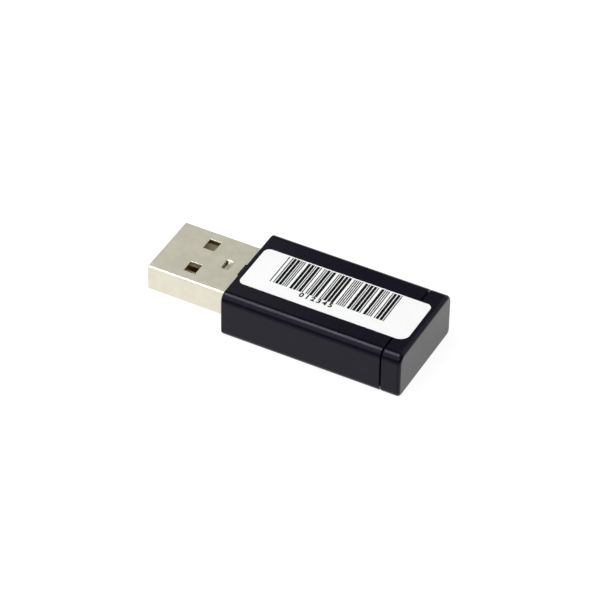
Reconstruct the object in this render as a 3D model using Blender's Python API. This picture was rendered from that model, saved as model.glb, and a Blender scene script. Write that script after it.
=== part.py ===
"""USB wireless network adapter: a type-A plug on a small radio board, inside a moulded sleeve.

The plug points along -X and the end cap closes the sleeve at +X. +Y is the width and +Z is up.
The origin is at the bottom centre of the bounding box, on the surface the adapter lies on.
All lengths are in metres.
"""

import math

import bmesh
import bpy
from mathutils import Matrix, Vector

MM = 0.001
QUARTER_TURN = math.pi / 2

# The whole adapter
OVERALL_LENGTH = 43.85 * MM
BODY_WIDTH = 17.2 * MM
BODY_HEIGHT = 7.9 * MM
PLUG_LENGTH = 13.9 * MM  # the metal shell that shows in front of the housing
PLUG_CENTRE_Z = 3.8 * MM
CAP_LENGTH = 3.03 * MM  # the part of the end cap that shows behind the groove
GROOVE_WIDTH = 0.34 * MM
GROOVE_DEPTH = 0.5 * MM

# Clearances between pieces that touch
FIT = 0.05 * MM
REST = 0.03 * MM

# Housing sleeve and end cap
WALL = 1.2 * MM
FRONT_WALL = 1.6 * MM
UPPER_EDGE_RADIUS = 1.5 * MM
LOWER_EDGE_RADIUS = 1.0 * MM
RIM_RADIUS = 0.3 * MM
CAP_RIM_RADIUS = 0.55 * MM
SEAM_RADIUS = 0.05 * MM
CAVITY_RADIUS = 0.4 * MM
SPIGOT_WALL = 0.8 * MM
GATE_PAD_LENGTH = 0.12 * MM
GATE_PAD_WIDTH = 2.65 * MM
GATE_PAD_Y = -1.7 * MM
GATE_PAD_BELOW_TOP = (0.1 * MM, 1.2 * MM)
RAIL_HEIGHT = 0.7 * MM
RAIL_REACH = 0.4 * MM  # how far a rail covers the board's edge
RAIL_ROOT = 0.3 * MM  # how far a rail is sunk into the wall that it grows from

# Label
LABEL_THICKNESS = 0.1 * MM
LABEL_LENGTH = 27.95 * MM
LABEL_WIDTH = 9.15 * MM
LABEL_FROM_FRONT = 0.9 * MM
LABEL_Y = -0.22 * MM
LABEL_RADIUS = 1.0 * MM

# Plug shell, to the USB type-A envelope
SHELL_WIDTH = 12.0 * MM
SHELL_HEIGHT = 4.5 * MM
SHELL_WALL = 0.3 * MM
SHELL_RADIUS = 0.35 * MM
SHELL_INSIDE = 2.8 * MM  # how far its tube runs on behind the housing's front face
WINDOW_SIZE = (1.95 * MM, 2.3 * MM)
WINDOW_FROM_TIP = 6.14 * MM
WINDOW_Y = 3.02 * MM
LATCH_SLOT_SIZE = (0.4 * MM, 1.85 * MM)
LATCH_SLOT_FROM_TIP = 9.97 * MM
LATCH_SLOT_Y = 0.1 * MM
ARM_LENGTH = 2.3 * MM
ARM_HEIGHT = 1.25 * MM
PRONG_LENGTH = 1.0 * MM
PRONG_DROP = 1.6 * MM  # how far a prong reaches below the board's top

# Insulator and contacts
CORE_RADIUS = 0.2 * MM
TONGUE_SETBACK = 0.55 * MM
TONGUE_LENGTH = 11.65 * MM
CONTACT_THICKNESS = 0.3 * MM
CONTACT_WIDTH = 1.0 * MM
CONTACT_PROUD = 0.03 * MM  # how far the contacts stand above the tongue
CONTACT_TAIL = 1.8 * MM  # how far the tails lie on the board
CONTACTS = {  # each contact's place across the plug, and how far its front is from the tip
    "contact_power": (-3.5 * MM, 1.6 * MM),
    "contact_data_minus": (-1.0 * MM, 2.6 * MM),
    "contact_data_plus": (1.0 * MM, 2.6 * MM),
    "contact_ground": (3.5 * MM, 1.6 * MM),
}

# Circuit board
BOARD_LENGTH = 20.0 * MM
BOARD_WIDTH = 13.4 * MM
BOARD_THICKNESS = 1.0 * MM
BOARD_GAP = 0.2 * MM  # between the shell's tube and the board's front edge
BOARD_SLOT_MARGIN = 0.15 * MM

# Radio shield
SHIELD_SIZE = (7.8 * MM, 10.4 * MM, 1.5 * MM)
SHIELD_ALONG = 12.5 * MM  # centre, from the board's front edge
SHEET = 0.2 * MM
SHIELD_FLANGE = 0.6 * MM
COVER_SKIRT = 1.1 * MM

# Printed antenna: a meandered track, from its feed to its open end
TRACK_THICKNESS = 0.06 * MM
TRACK_WIDTH = 0.6 * MM
MEANDER_PITCH = 1.3 * MM
MEANDER_DEPTH = 1.7 * MM
MEANDER_TURNS = 6
ANTENNA_ALONG = 17.8 * MM
FEED_Y = -4.2 * MM

# Parts on the board: size (length, width, height), place along and across the board, quarter turns
CHIPS = {
    "wifi_chip": ((5.0, 5.0, 0.85), (11.6, 0.0), 0),
    "crystal": ((2.0, 1.6, 0.5), (15.2, 1.5), 1),
    "power_inductor": ((3.0, 3.0, 1.2), (6.7, -3.2), 0),
    "data_choke": ((2.0, 1.2, 1.2), (3.8, -3.6), 0),
    "firmware_flash": ((3.0, 2.0, 0.6), (10.0, 0.0), 1),
}
LEADED_CHIPS = {  # body size, place, and how far apart the leads of a row of three are
    "esd_array": ((1.6, 2.9, 1.0), (4.3, 0.0), 0.95),
    "voltage_regulator": ((1.6, 2.9, 1.0), (6.8, 3.3), 0.95),
}
TWO_ENDED = {  # size, place, quarter turns
    "resettable_fuse": ((2.0, 1.25, 0.6), (3.8, 4.3), 0),
    "bulk_capacitor_1": ((2.0, 1.25, 1.1), (7.1, 0.2), 1),
    "bulk_capacitor_2": ((2.0, 1.25, 1.1), (6.6, 5.55), 0),
    "capacitor_1": ((1.0, 0.5, 0.5), (9.9, 3.6), 0),
    "capacitor_2": ((1.0, 0.5, 0.5), (11.7, 3.6), 0),
    "capacitor_3": ((1.0, 0.5, 0.5), (13.5, 3.6), 0),
    "capacitor_4": ((1.0, 0.5, 0.5), (3.4, -5.4), 0),
    "capacitor_5": ((1.0, 0.5, 0.5), (5.0, -5.4), 0),
    "capacitor_6": ((1.0, 0.5, 0.5), (17.05, -5.3), 1),
    "capacitor_7": ((1.0, 0.5, 0.5), (13.6, 2.2), 0),
    "capacitor_8": ((1.0, 0.5, 0.5), (13.6, -2.2), 0),
    "resistor_1": ((1.0, 0.5, 0.35), (10.4, -3.6), 0),
    "resistor_2": ((1.0, 0.5, 0.35), (12.6, -3.6), 0),
    "resistor_3": ((1.0, 0.5, 0.35), (6.6, -5.4), 0),
    "resistor_4": ((1.0, 0.5, 0.35), (17.05, -2.6), 1),
}
UNDER_THE_BOARD = ("firmware_flash", "capacitor_7", "capacitor_8")
TERMINAL_SHARE = 0.24  # of a two-ended part's length, at each end
WAIST = 0.9  # its middle's width and height, as a share of its ends'
WAIST_SLOPE = 0.03  # of its length, between an end and the middle
LEAD_WIDTH = 0.4 * MM
LEAD_THICKNESS = 0.13 * MM
LEAD_REACH = 0.6 * MM
LEAD_FOOT = 0.25 * MM

# Places that follow from the sizes above
PLUG_TIP_X = -OVERALL_LENGTH / 2
HOUSING_FRONT_X = PLUG_TIP_X + PLUG_LENGTH
CAP_END_X = OVERALL_LENGTH / 2
CAP_FRONT_X = CAP_END_X - CAP_LENGTH
HOUSING_REAR_X = CAP_FRONT_X - GROOVE_WIDTH
SHELL_REAR_X = HOUSING_FRONT_X + SHELL_INSIDE
CONTACT_TOP_Z = PLUG_CENTRE_Z + CONTACT_PROUD
CHANNEL_FLOOR_Z = CONTACT_TOP_Z - CONTACT_THICKNESS - REST
BOARD_TOP_Z = CHANNEL_FLOOR_Z
BOARD_BOTTOM_Z = BOARD_TOP_Z - BOARD_THICKNESS
BOARD_FRONT_X = SHELL_REAR_X + BOARD_GAP
BOARD_REAR_X = BOARD_FRONT_X + BOARD_LENGTH
SPIGOT_FRONT_X = BOARD_REAR_X + 2 * FIT
CAVITY_HALF_WIDTH = BODY_WIDTH / 2 - WALL
RAIL_INNER_Y = BOARD_WIDTH / 2 - RAIL_REACH

PARTS = "usb_wifi_adapter"
GUIDES = "cutters"
BEYOND = 5 * MM  # how far a cutter runs past the face that it opens
SAME_PLACE = 0.001 * MM
SHARP_FROM_DEGREES = 35
UP = Vector((0, 0, 1))


def linear(level):
    """An 8-bit sRGB level as the linear value that a shader takes."""
    share = level / 255
    return share / 12.92 if share <= 0.04045 else ((share + 0.055) / 1.055) ** 2.4


def material(name, colour, roughness, metallic=0.0):
    made = bpy.data.materials.new(name)
    made.use_nodes = True
    shader = made.node_tree.nodes["Principled BSDF"]
    shader.inputs["Base Color"].default_value = (*map(linear, colour), 1.0)
    shader.inputs["Roughness"].default_value = roughness
    shader.inputs["Metallic"].default_value = metallic
    return made


def place(name, mesh, centre, finish=None, quarter_turns=0):
    """An object for the mesh: a part if it has a finish, or else a cutter."""
    made = bpy.data.objects.new(name, mesh)
    made.location = centre
    made.rotation_euler.z = quarter_turns * QUARTER_TURN
    if finish is None:
        made.hide_render = True
        made.display_type = "WIRE"
        bpy.data.collections[GUIDES].objects.link(made)
    else:
        mesh.materials.append(finish)
        bpy.data.collections[PARTS].objects.link(made)
    return made


def new_mesh(name, bm):
    bmesh.ops.recalc_face_normals(bm, faces=bm.faces)
    mesh = bpy.data.meshes.new(name)
    bm.to_mesh(mesh)
    bm.free()
    return mesh


def block_mesh(name, size, radius=0.0, steps=4, axis=0, rims=(0.0, 0.0), upper_radius=None):
    """A box on its own centre.

    The edges along the axis get the radius, or the upper ones their own, and so does each end's rim.
    """
    bm = bmesh.new()
    bmesh.ops.create_cube(bm, size=1.0, matrix=Matrix.Diagonal((*size, 1.0)))
    if radius:
        upper = []
        lower = []
        for edge in bm.edges:
            run = edge.verts[1].co - edge.verts[0].co
            if abs(run[axis]) > run.length / 2:
                (upper if edge.verts[0].co.z > 0 else lower).append(edge)
        for edges, width in ((upper, upper_radius or radius), (lower, radius)):
            bmesh.ops.bevel(bm, geom=edges, offset=width, segments=steps, profile=0.5, affect="EDGES")
    for side, rim in zip((-0.5, 0.5), rims):
        if rim:
            end = side * size[axis]
            edges = [e for e in bm.edges if all(abs(v.co[axis] - end) < SAME_PLACE for v in e.verts)]
            bmesh.ops.bevel(bm, geom=edges, offset=rim, segments=2, profile=0.5, affect="EDGES")
    return new_mesh(name, bm)


def block(name, low, high, finish=None, **rounding):
    """A box between two corners, as a part or, with no finish, as a cutter."""
    low = Vector(low)
    high = Vector(high)
    return place(name, block_mesh(name, high - low, **rounding), (low + high) / 2, finish)


def combine(target, tool, operation):
    modifier = target.modifiers.new(tool.name, "BOOLEAN")
    modifier.operation = operation
    modifier.object = tool


def cut(target, *tools):
    for tool in tools:
        combine(target, tool, "DIFFERENCE")


def join(target, *tools):
    for tool in tools:
        combine(target, tool, "UNION")


def smooth(target):
    target.data.shade_smooth()
    target.data.set_sharp_from_angle(angle=math.radians(SHARP_FROM_DEGREES))


def ribbon_mesh(name, path, width, depth):
    """A flat strip along a path in the XY plane, as thick as depth, with mitred corners."""
    bm = bmesh.new()
    points = [Vector((x, y, 0)) for x, y in path]
    runs = [(b - a).normalized() for a, b in zip(points, points[1:])]
    pairs = []
    for index, point in enumerate(points):
        before = runs[max(index - 1, 0)]
        after = runs[min(index, len(runs) - 1)]
        normal = (before + after).normalized().cross(UP)
        offset = normal * (width / 2) / normal.dot(after.cross(UP))
        pairs.append([bm.verts.new(point + offset), bm.verts.new(point - offset)])
    for (a, b), (c, d) in zip(pairs, pairs[1:]):
        bm.faces.new((a, c, d, b))
    strip = bmesh.ops.extrude_face_region(bm, geom=bm.faces[:])
    raised = [item for item in strip["geom"] if isinstance(item, bmesh.types.BMVert)]
    bmesh.ops.translate(bm, verts=raised, vec=UP * depth)
    return new_mesh(name, bm)


def on_board(along, across, height, name):
    """The centre of a part that lies on the board, or under it."""
    x = BOARD_FRONT_X + along * MM
    if name in UNDER_THE_BOARD:
        return Vector((x, across * MM, BOARD_BOTTOM_Z - REST - height / 2))
    return Vector((x, across * MM, BOARD_TOP_Z + REST + height / 2))


def make_housing(finish):
    half_width = BODY_WIDTH / 2
    housing = block(
        "housing_sleeve",
        (HOUSING_FRONT_X, -half_width, 0),
        (HOUSING_REAR_X, half_width, BODY_HEIGHT),
        finish,
        radius=LOWER_EDGE_RADIUS,
        upper_radius=UPPER_EDGE_RADIUS,
        steps=6,
        rims=(RIM_RADIUS, SEAM_RADIUS),
    )
    cavity = block(
        "housing_cavity",
        (HOUSING_FRONT_X + FRONT_WALL, -CAVITY_HALF_WIDTH, WALL),
        (HOUSING_REAR_X + BEYOND, CAVITY_HALF_WIDTH, BODY_HEIGHT - WALL),
        radius=CAVITY_RADIUS,
        steps=3,
    )
    aperture = block(
        "plug_aperture",
        (HOUSING_FRONT_X - BEYOND, -SHELL_WIDTH / 2 - FIT, PLUG_CENTRE_Z - SHELL_HEIGHT / 2 - FIT),
        (SHELL_REAR_X, SHELL_WIDTH / 2 + FIT, PLUG_CENTRE_Z + SHELL_HEIGHT / 2 + FIT),
        radius=SHELL_RADIUS + FIT,
    )
    cut(housing, cavity, aperture)
    gate_high, gate_low = GATE_PAD_BELOW_TOP
    gate_pad = block(
        "gate_pad",
        (HOUSING_FRONT_X - GATE_PAD_LENGTH, GATE_PAD_Y - GATE_PAD_WIDTH / 2, BODY_HEIGHT - gate_low),
        (HOUSING_FRONT_X + FRONT_WALL / 2, GATE_PAD_Y + GATE_PAD_WIDTH / 2, BODY_HEIGHT - gate_high),
    )
    join(housing, gate_pad)
    for side, word in ((-1, "near"), (1, "far")):
        inner = side * RAIL_INNER_Y
        root = side * (CAVITY_HALF_WIDTH + RAIL_ROOT)
        rail_start = BOARD_FRONT_X - BOARD_GAP
        rail_end = BOARD_REAR_X - RAIL_ROOT
        lower = block(
            f"lower_rail_{word}",
            (rail_start, min(inner, root), WALL - RAIL_ROOT),
            (rail_end, max(inner, root), BOARD_BOTTOM_Z - REST),
        )
        upper = block(
            f"upper_rail_{word}",
            (rail_start, min(inner, root), BOARD_TOP_Z + REST),
            (rail_end, max(inner, root), BOARD_TOP_Z + REST + RAIL_HEIGHT),
        )
        stop = block(
            f"board_stop_{word}",
            (HOUSING_FRONT_X + FRONT_WALL / 2, min(inner, root), BOARD_BOTTOM_Z - RAIL_ROOT),
            (BOARD_FRONT_X - FIT, max(inner, root), BOARD_TOP_Z + RAIL_ROOT),
        )
        join(housing, lower, upper, stop)
    smooth(housing)


def make_end_cap(finish):
    half_width = BODY_WIDTH / 2
    cap = block(
        "end_cap",
        (CAP_FRONT_X, -half_width, 0),
        (CAP_END_X, half_width, BODY_HEIGHT),
        finish,
        radius=LOWER_EDGE_RADIUS,
        upper_radius=UPPER_EDGE_RADIUS,
        steps=6,
        rims=(SEAM_RADIUS, CAP_RIM_RADIUS),
    )
    spigot = block(
        "spigot",
        (SPIGOT_FRONT_X, -CAVITY_HALF_WIDTH + FIT, WALL + FIT),
        (CAP_FRONT_X + WALL / 2, CAVITY_HALF_WIDTH - FIT, BODY_HEIGHT - WALL - FIT),
        radius=CAVITY_RADIUS - FIT,
        steps=3,
    )
    collar = block(
        "collar",
        (HOUSING_REAR_X + FIT, GROOVE_DEPTH - half_width, GROOVE_DEPTH),
        (CAP_FRONT_X + WALL / 2, half_width - GROOVE_DEPTH, BODY_HEIGHT - GROOVE_DEPTH),
        radius=LOWER_EDGE_RADIUS - GROOVE_DEPTH,
        upper_radius=UPPER_EDGE_RADIUS - GROOVE_DEPTH,
        steps=3,
    )
    inset = WALL + SPIGOT_WALL
    pocket = block(
        "cap_pocket",
        (SPIGOT_FRONT_X - BEYOND, -half_width + inset, inset),
        (CAP_END_X - WALL, half_width - inset, BODY_HEIGHT - inset),
        radius=CAVITY_RADIUS / 2,
        steps=2,
    )
    join(cap, collar, spigot)
    cut(cap, pocket)
    smooth(cap)


def make_label(finish):
    low = Vector((HOUSING_FRONT_X + LABEL_FROM_FRONT, LABEL_Y - LABEL_WIDTH / 2, BODY_HEIGHT + REST))
    high = low + Vector((LABEL_LENGTH, LABEL_WIDTH, LABEL_THICKNESS))
    block("label", low, high, finish, radius=LABEL_RADIUS, axis=2)


def make_shell(finish):
    half_width = SHELL_WIDTH / 2
    half_height = SHELL_HEIGHT / 2
    arm_end_x = SHELL_REAR_X + ARM_LENGTH
    shell = block(
        "usb_shell",
        (PLUG_TIP_X, -half_width, PLUG_CENTRE_Z - half_height),
        (arm_end_x, half_width, PLUG_CENTRE_Z + half_height),
        finish,
        radius=SHELL_RADIUS,
    )
    bore = block(
        "shell_bore",
        (PLUG_TIP_X - BEYOND, SHELL_WALL - half_width, PLUG_CENTRE_Z - half_height + SHELL_WALL),
        (arm_end_x + BEYOND, half_width - SHELL_WALL, PLUG_CENTRE_Z + half_height - SHELL_WALL),
        radius=SHELL_RADIUS - SHELL_WALL,
        steps=2,
    )
    cut(shell, bore)
    for side, word in ((-1, "near"), (1, "far")):
        centre = Vector((PLUG_TIP_X + WINDOW_FROM_TIP, side * WINDOW_Y, PLUG_CENTRE_Z))
        reach = Vector((*WINDOW_SIZE, SHELL_HEIGHT + BEYOND)) / 2
        cut(shell, block(f"window_{word}", centre - reach, centre + reach))
    slot_centre = Vector((PLUG_TIP_X + LATCH_SLOT_FROM_TIP, LATCH_SLOT_Y, PLUG_CENTRE_Z + half_height))
    slot_reach = Vector((*LATCH_SLOT_SIZE, SHELL_HEIGHT / 2)) / 2
    cut(shell, block("latch_slot", slot_centre - slot_reach, slot_centre + slot_reach))

    # Behind the tube only two side arms are left, each with a prong that goes through the board.
    middle = half_width - SHELL_RADIUS
    arm_low = BOARD_TOP_Z + FIT
    arm_high = arm_low + ARM_HEIGHT
    prong_end_x = arm_end_x - FIT * 2
    prong_start_x = prong_end_x - PRONG_LENGTH
    prong_low = BOARD_TOP_Z - PRONG_DROP
    wide = half_width + BEYOND
    deep = PLUG_CENTRE_Z - half_height - BEYOND
    high = PLUG_CENTRE_Z + half_height + BEYOND
    behind = arm_end_x + BEYOND
    trims = {
        "trim_middle": ((SHELL_REAR_X, -middle, deep), (behind, middle, high)),
        "trim_above_arms": ((SHELL_REAR_X, -wide, arm_high), (behind, wide, high)),
        "trim_below_prongs": ((SHELL_REAR_X, -wide, deep), (behind, wide, prong_low)),
        "trim_before_prongs": ((SHELL_REAR_X, -wide, deep), (prong_start_x, wide, arm_low)),
        "trim_behind_prongs": ((prong_end_x, -wide, deep), (behind, wide, arm_low)),
    }
    cut(shell, *(block(name, low, high) for name, (low, high) in trims.items()))
    smooth(shell)


def make_insulator(finish):
    half_width = SHELL_WIDTH / 2 - SHELL_WALL - FIT
    floor = PLUG_CENTRE_Z - SHELL_HEIGHT / 2 + SHELL_WALL + FIT
    ceiling = PLUG_CENTRE_Z + SHELL_HEIGHT / 2 - SHELL_WALL - FIT
    front_x = PLUG_TIP_X + TONGUE_SETBACK
    step_x = front_x + TONGUE_LENGTH
    insulator = block(
        "plug_insulator",
        (front_x, -half_width, floor),
        (SHELL_REAR_X, half_width, ceiling),
        finish,
        radius=CORE_RADIUS,
        steps=2,
    )
    above_tongue = block(
        "above_tongue",
        (front_x - BEYOND, -half_width - BEYOND, PLUG_CENTRE_Z),
        (step_x, half_width + BEYOND, ceiling + BEYOND),
    )
    cut(insulator, above_tongue)
    for name, (y, _) in CONTACTS.items():
        reach = CONTACT_WIDTH / 2 + REST
        channel = block(
            f"{name}_channel",
            (front_x + TONGUE_SETBACK, y - reach, CHANNEL_FLOOR_Z),
            (SHELL_REAR_X + BEYOND, y + reach, CONTACT_TOP_Z + REST),
        )
        cut(insulator, channel)


def make_contacts(finish):
    for name, (y, setback) in CONTACTS.items():
        block(
            name,
            (PLUG_TIP_X + setback, y - CONTACT_WIDTH / 2, CONTACT_TOP_Z - CONTACT_THICKNESS),
            (BOARD_FRONT_X + CONTACT_TAIL, y + CONTACT_WIDTH / 2, CONTACT_TOP_Z),
            finish,
        )


def make_board(finish):
    half_width = BOARD_WIDTH / 2
    board = block(
        "circuit_board",
        (BOARD_FRONT_X, -half_width, BOARD_BOTTOM_Z),
        (BOARD_REAR_X, half_width, BOARD_TOP_Z),
        finish,
        radius=CAVITY_RADIUS,
        steps=2,
        axis=2,
    )
    prong_x = SHELL_REAR_X + ARM_LENGTH - 2 * FIT - PRONG_LENGTH / 2
    for side, word in ((-1, "near"), (1, "far")):
        centre = Vector((prong_x, side * (SHELL_WIDTH - SHELL_WALL) / 2, BOARD_TOP_Z))
        reach_x = PRONG_LENGTH / 2 + BOARD_SLOT_MARGIN
        reach_y = SHELL_WALL / 2 + BOARD_SLOT_MARGIN
        reach = Vector((reach_x, reach_y, BOARD_THICKNESS * 2))
        cut(board, block(f"prong_slot_{word}", centre - reach, centre + reach))


def make_shield(finish):
    length, width, height = SHIELD_SIZE
    centre_x = BOARD_FRONT_X + SHIELD_ALONG
    base = BOARD_TOP_Z + REST
    half = Vector((length / 2, width / 2, 0))
    middle = Vector((centre_x, 0, 0))

    def box(name, spread, low, high, finish=None):
        reach = half + Vector((spread, spread, 0))
        return block(name, middle - reach + UP * low, middle + reach + UP * high, finish)

    top = base + height
    frame = box("shield_frame", 0, base, top, finish)
    inside = box("shield_frame_inside", -SHEET, base - BEYOND, top - SHEET)
    opening = box("shield_frame_opening", -SHIELD_FLANGE - SHEET, base, top + BEYOND)
    cut(frame, inside, opening)
    cover_top = top + REST + SHEET
    cover = box("shield_cover", FIT + SHEET, cover_top - COVER_SKIRT, cover_top, finish)
    cut(cover, box("shield_cover_inside", FIT, base - BEYOND, cover_top - SHEET))


def make_antenna(finish):
    """The track starts at its feed, near the shield, and runs across the board in square turns."""
    path = [(0, 0), (MEANDER_DEPTH, 0)]
    for turn in range(1, MEANDER_TURNS + 1):
        across = turn * MEANDER_PITCH
        here, there = (MEANDER_DEPTH, 0) if turn % 2 else (0, MEANDER_DEPTH)
        path += [(here, across), (there, across)]
    mesh = ribbon_mesh("antenna_trace", path, TRACK_WIDTH, TRACK_THICKNESS)
    feed = Vector((BOARD_FRONT_X + ANTENNA_ALONG, FEED_Y, BOARD_TOP_Z + REST))
    place("antenna_trace", mesh, feed, finish)


def make_chips(finishes):
    for name, (size, (along, across), turns) in CHIPS.items():
        size = Vector(size) * MM
        mesh = block_mesh(name, size, radius=SHEET / 2, steps=1, axis=2)
        place(name, mesh, on_board(along, across, size.z, name), finishes[name], turns)


def make_leaded_chips(finish):
    """Small packages with gull-wing leads on both long sides."""
    for name, (size, (along, across), pitch) in LEADED_CHIPS.items():
        body_x, body_y, body_z = Vector(size) * MM
        centre = on_board(along, across, body_z, name)
        shoulder = body_x / 2
        drop = body_z / 2 - LEAD_THICKNESS / 2
        knee = shoulder + (LEAD_REACH - LEAD_FOOT) / 2
        profile = [
            (shoulder - LEAD_FOOT, 0),
            (knee, 0),
            (knee + LEAD_THICKNESS, -drop),
            (shoulder + LEAD_REACH, -drop),
        ]
        lifted = centre + UP * LEAD_THICKNESS
        body_mesh = block_mesh(name, (body_x, body_y, body_z - LEAD_THICKNESS), SHEET / 2, 1, 2)
        body = place(name, body_mesh, lifted - UP * LEAD_THICKNESS / 2, finish)
        lead = ribbon_mesh(f"{name}_lead", profile, LEAD_THICKNESS, LEAD_WIDTH)
        for side in (-1, 1):
            for step in (-1, 0, 1):
                across_body = Vector((0, step * pitch * MM + side * LEAD_WIDTH / 2, 0))
                tool = place(f"{name}_lead_{side}_{step}", lead, centre + across_body)
                tool.rotation_euler = (QUARTER_TURN, 0, (1 - side) * QUARTER_TURN)
                join(body, tool)


def two_ended_mesh(name, size):
    """A small block whose two metal ends stand a little proud of its middle."""
    bm = bmesh.new()
    bmesh.ops.create_cube(bm, size=1.0, matrix=Matrix.Diagonal((*size, 1.0)))
    shoulder = size[0] * (0.5 - TERMINAL_SHARE)
    waist = shoulder - size[0] * WAIST_SLOPE
    for x in (-shoulder, -waist, waist, shoulder):
        geometry = bm.verts[:] + bm.edges[:] + bm.faces[:]
        bmesh.ops.bisect_plane(bm, geom=geometry, plane_co=(x, 0, 0), plane_no=(1, 0, 0))
    middle = [v for v in bm.verts if abs(v.co.x) < (shoulder + waist) / 2]
    bmesh.ops.scale(bm, vec=(1, WAIST, WAIST), verts=middle)
    return new_mesh(name, bm)


def make_two_ended(finishes):
    for name, (size, (along, across), turns) in TWO_ENDED.items():
        size = Vector(size) * MM
        centre = on_board(along, across, size.z, name)
        kind = name.rstrip("0123456789_")
        place(name, two_ended_mesh(name, size), centre, finishes[kind], turns)


def make_adapter():
    black_plastic = material("black_plastic", (24, 23, 31), 0.32)
    nickel = material("nickel_plate", (214, 209, 192), 0.3, 1.0)
    gold = material("gold_plate", (226, 186, 98), 0.25, 1.0)
    tin = material("tinned_steel", (190, 190, 188), 0.35, 1.0)
    copper = material("copper_track", (200, 132, 82), 0.4, 1.0)
    epoxy = material("chip_epoxy", (32, 32, 34), 0.55)
    brown_ceramic = material("brown_ceramic", (150, 112, 78), 0.5)
    make_housing(black_plastic)
    make_end_cap(black_plastic)
    make_label(material("label_film", (250, 250, 249), 0.45))
    make_shell(nickel)
    make_insulator(material("ivory_nylon", (236, 230, 214), 0.5))
    make_contacts(gold)
    make_board(material("board_green", (20, 84, 48), 0.45))
    make_shield(tin)
    make_antenna(copper)
    make_leaded_chips(epoxy)
    make_chips(
        {
            "wifi_chip": epoxy,
            "crystal": tin,
            "power_inductor": material("ferrite", (58, 56, 58), 0.7),
            "data_choke": material("choke_ferrite", (70, 66, 64), 0.7),
            "firmware_flash": epoxy,
        }
    )
    make_two_ended(
        {
            "resettable_fuse": material("fuse_green", (38, 110, 70), 0.5),
            "bulk_capacitor": brown_ceramic,
            "capacitor": brown_ceramic,
            "resistor": material("resistor_film", (28, 28, 30), 0.4),
        }
    )


def main():
    for old in list(bpy.data.objects):
        bpy.data.objects.remove(old)
    for name in (PARTS, GUIDES):
        bpy.context.scene.collection.children.link(bpy.data.collections.new(name))
    make_adapter()


main()
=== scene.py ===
"""The looks of the USB wireless adapter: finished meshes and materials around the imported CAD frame."""

import math

import bmesh
import bpy
from mathutils import Matrix, Vector


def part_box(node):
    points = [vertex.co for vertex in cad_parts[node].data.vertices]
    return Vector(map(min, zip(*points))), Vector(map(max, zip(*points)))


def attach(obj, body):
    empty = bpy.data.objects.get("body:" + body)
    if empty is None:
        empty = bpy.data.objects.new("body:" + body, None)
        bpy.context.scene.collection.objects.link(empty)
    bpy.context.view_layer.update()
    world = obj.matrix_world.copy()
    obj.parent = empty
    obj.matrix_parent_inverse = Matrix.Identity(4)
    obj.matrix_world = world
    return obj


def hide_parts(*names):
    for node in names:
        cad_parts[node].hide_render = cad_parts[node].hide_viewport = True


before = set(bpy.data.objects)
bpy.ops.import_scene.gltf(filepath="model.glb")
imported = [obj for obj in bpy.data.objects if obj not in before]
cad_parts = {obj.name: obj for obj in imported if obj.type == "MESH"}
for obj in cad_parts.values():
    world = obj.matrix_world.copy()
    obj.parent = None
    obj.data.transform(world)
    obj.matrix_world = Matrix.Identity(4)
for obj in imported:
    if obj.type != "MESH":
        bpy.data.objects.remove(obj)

MM = 0.001
UP = Vector((0, 0, 1))
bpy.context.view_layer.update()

# Camera: a long lens, looking down on the near side and the end face; angles in degrees
CAMERA_AZIMUTH = 27.12
CAMERA_ELEVATION = 40.54
CAMERA_ROLL = 1.07
CAMERA_DISTANCE = 535.5 * MM
CAMERA_TARGET = Vector((0.27, 1.25, 3.0)) * MM
CAMERA_LENS_MM = 213.4
CAMERA_SENSOR_MM = 36

# Places read from the frame
BODY_LOW, BODY_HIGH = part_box("housing_sleeve")
CAP_LOW, CAP_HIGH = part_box("end_cap")
SHELL_LOW, SHELL_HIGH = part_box("usb_shell")
LABEL_LOW, LABEL_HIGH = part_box("label")
BOARD_LOW, BOARD_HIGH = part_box("circuit_board")
CORE_LOW, CORE_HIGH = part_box("plug_insulator")

PLUG_LENGTH = 13.9 * MM  # of the shell that shows in front of the housing
CAP_LENGTH = 3.03 * MM  # of the cap that shows behind the groove
TIP_X = SHELL_LOW.x
FRONT_X = TIP_X + PLUG_LENGTH
CAP_FRONT_X = CAP_HIGH.x - CAP_LENGTH
CENTRE_Z = (SHELL_LOW.z + SHELL_HIGH.z) / 2

WALL = 1.2 * MM
FRONT_WALL = 1.6 * MM
FIT = 0.05 * MM  # between neighbours that slide together
BEYOND = 5 * MM  # how far a cutting tool runs past what it cuts
SAME_PLACE = 0.001 * MM  # points nearer to each other than this count as one
TOLERANCE = 0.01 * MM  # for telling which face of the plug a point is on


# ---------------------------------------------------------------- materials


# The Mix node's colour sockets, by number because its sockets for other data share their names
MIX_FIRST = 6
MIX_SECOND = 7
MIX_RESULT = 2
END_SHARE = 0.24  # of a chip part's length, for each tinned end


def srgb(*levels):
    """8-bit sRGB levels as the linear colour that a shader takes."""
    shares = [level / 255 for level in levels]
    return [s / 12.92 if s <= 0.04045 else ((s + 0.055) / 1.055) ** 2.4 for s in shares] + [1.0]


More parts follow.
